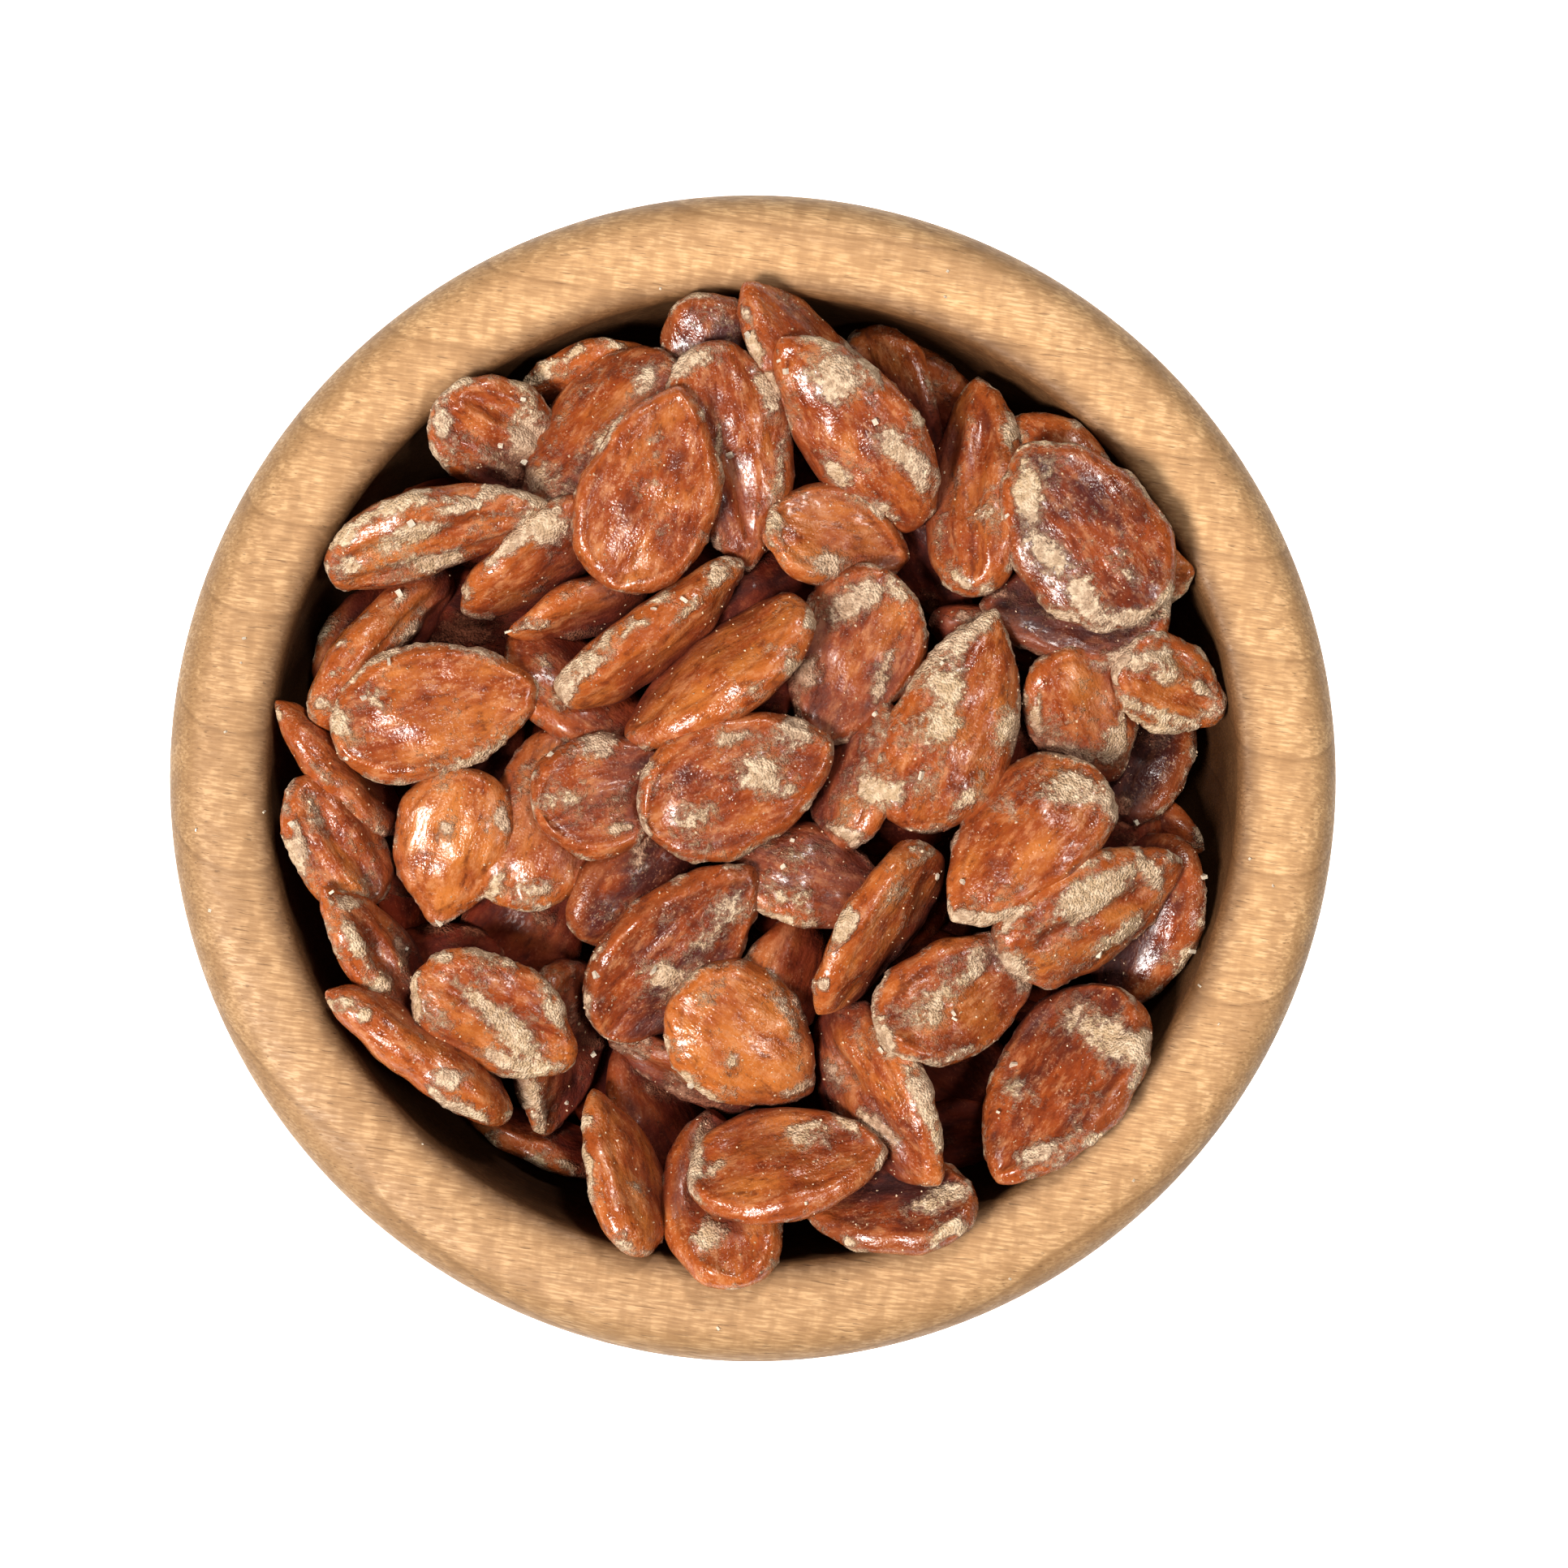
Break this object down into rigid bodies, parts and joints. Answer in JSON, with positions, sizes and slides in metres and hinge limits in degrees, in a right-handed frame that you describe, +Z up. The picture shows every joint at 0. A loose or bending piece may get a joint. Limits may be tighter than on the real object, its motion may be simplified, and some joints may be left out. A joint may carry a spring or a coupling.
{
  "type": "bowl of salted pumpkin seeds",
  "caption": "Turned wooden snack bowl on a low foot, heaped with large roasted pumpkin seeds in a dried salt crust.",
  "frame": {"origin": "middle of the underside of the bowl's foot", "axes": "+Z up along the bowl's axis; +X along the grain of the wood"},
  "size_m": [0.116, 0.116, 0.0507],
  "materials": {
    "bowl_wood": "satin",
    "seed_hull": "satin"
  },
  "bodies": {
    "root": {"bowl": "bowl_wood", "seed_heap": "seed_hull"}
  },
  "joints": []
}
